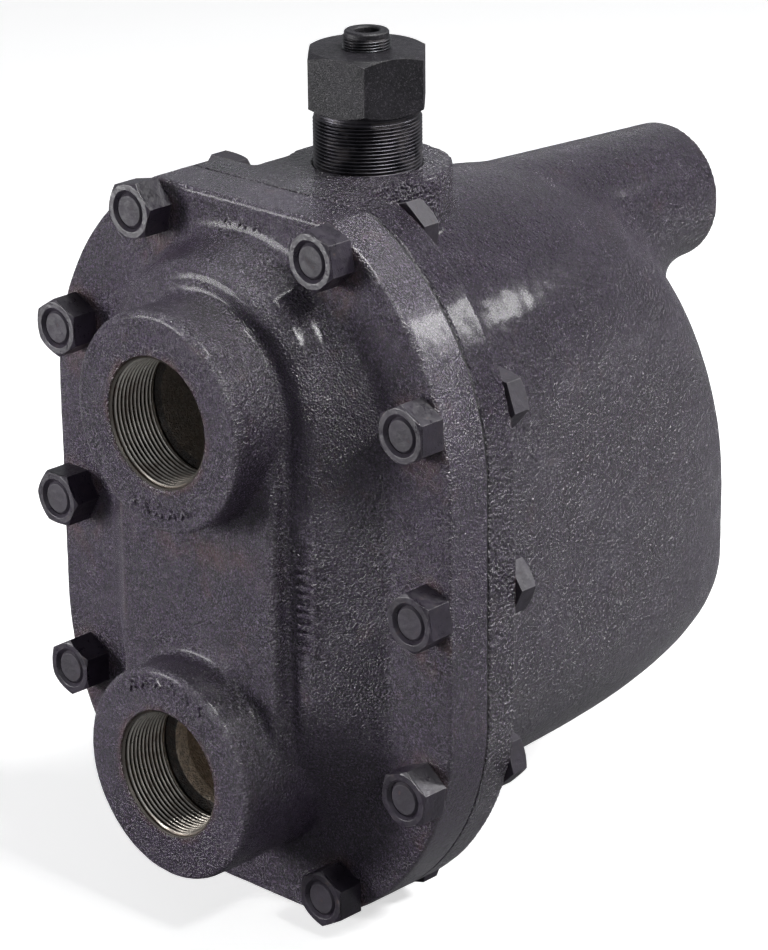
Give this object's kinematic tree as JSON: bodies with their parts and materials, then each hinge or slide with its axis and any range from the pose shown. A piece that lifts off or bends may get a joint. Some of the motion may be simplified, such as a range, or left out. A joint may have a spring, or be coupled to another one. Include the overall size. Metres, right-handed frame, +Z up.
{
  "type": "steam trap",
  "caption": "Cast-iron float and thermostatic steam trap: bolted cover with screwed inlet and outlet, bell-shaped float chamber, vacuum breaker and plugged rear port.",
  "frame": {"origin": "centre of the front face of the upper (inlet) boss", "axes": "+Y along both ports, into the trap; +Z up; +X to the right of someone who faces the cover"},
  "size_m": [0.2468, 0.3403, 0.3851],
  "materials": {
    "body_casting": "semi-gloss dark enamel over a rough casting",
    "cover_casting": "semi-gloss dark enamel over a rough casting",
    "cover_gasket": "compressed fibre sheet, dark",
    "cover_bolts": "semi-gloss dark enamel",
    "cover_nuts": "semi-gloss dark enamel",
    "rear_port_plug": "bare iron, lightly oxidised",
    "breaker_body": "matt black",
    "breaker_seat_bush": "matt black",
    "breaker_disc": "turned stainless",
    "breaker_spring": "drawn stainless wire",
    "breaker_retainer": "pressed stainless",
    "main_valve_seat": "hardened stainless, ground face",
    "seat_gasket": "soft copper",
    "valve_bracket": "cast stainless",
    "bracket_screws": "stainless",
    "lever_pivot_pin": "ground stainless",
    "pivot_clips": "spring steel",
    "float_lever": "stainless bar",
    "float_ball": "spun stainless",
    "float_nut": "stainless",
    "valve_plunger": "hardened stainless",
    "drive_pin": "ground stainless",
    "air_vent_seat": "stainless",
    "air_vent_frame": "pressed stainless strip",
    "air_vent_screws": "stainless",
    "air_vent_capsule": "pressed stainless",
    "air_vent_valve": "ground stainless",
    "inlet_baffle": "stainless sheet",
    "baffle_screws": "stainless"
  },
  "bodies": {
    "root": {"body_casting": "body_casting", "cover_casting": "cover_casting", "cover_gasket": "cover_gasket", "cover_bolts": "cover_bolts", "cover_nuts": "cover_nuts", "rear_port_plug": "rear_port_plug", "breaker_body": "breaker_body", "breaker_seat_bush": "breaker_seat_bush", "breaker_spring": "breaker_spring", "breaker_retainer": "breaker_retainer", "main_valve_seat": "main_valve_seat", "seat_gasket": "seat_gasket", "valve_bracket": "valve_bracket", "bracket_screws": "bracket_screws", "lever_pivot_pin": "lever_pivot_pin", "pivot_clips": "pivot_clips", "air_vent_seat": "air_vent_seat", "air_vent_frame": "air_vent_frame", "air_vent_screws": "air_vent_screws", "air_vent_capsule": "air_vent_capsule", "inlet_baffle": "inlet_baffle", "baffle_screws": "baffle_screws"},
    "lever": {"float_lever": "float_lever", "float_ball": "float_ball", "float_nut": "float_nut"},
    "valve": {"valve_plunger": "valve_plunger", "drive_pin": "drive_pin"},
    "vent_valve": {"air_vent_valve": "air_vent_valve"},
    "breaker": {"breaker_disc": "breaker_disc"}
  },
  "joints": [
    {"name": "float_lever", "type": "hinge", "parent": "root", "child": "lever", "pos_m": [0, 0.1, -0.144], "axis": [1, 0, 0], "range_deg": [0, 25]},
    {"name": "main_valve", "type": "slide", "parent": "root", "child": "valve", "axis": [0, 1, 0], "range_m": [0, 0.0091]},
    {"name": "air_vent", "type": "slide", "parent": "root", "child": "vent_valve", "axis": [0, -1, 0], "range_m": [0, 0.0025], "stiffness_N_per_m": 300, "springref_m": -0.001},
    {"name": "vacuum_breaker", "type": "slide", "parent": "root", "child": "breaker", "axis": [0, 0, -1], "range_m": [0, 0.003], "stiffness_N_per_m": 200, "springref_m": -0.002, "deforming": ["breaker_spring"]}
  ],
  "couplings": [
    {"joint": "main_valve", "follows": "float_lever", "m_per_rad": 0.0207}
  ]
}
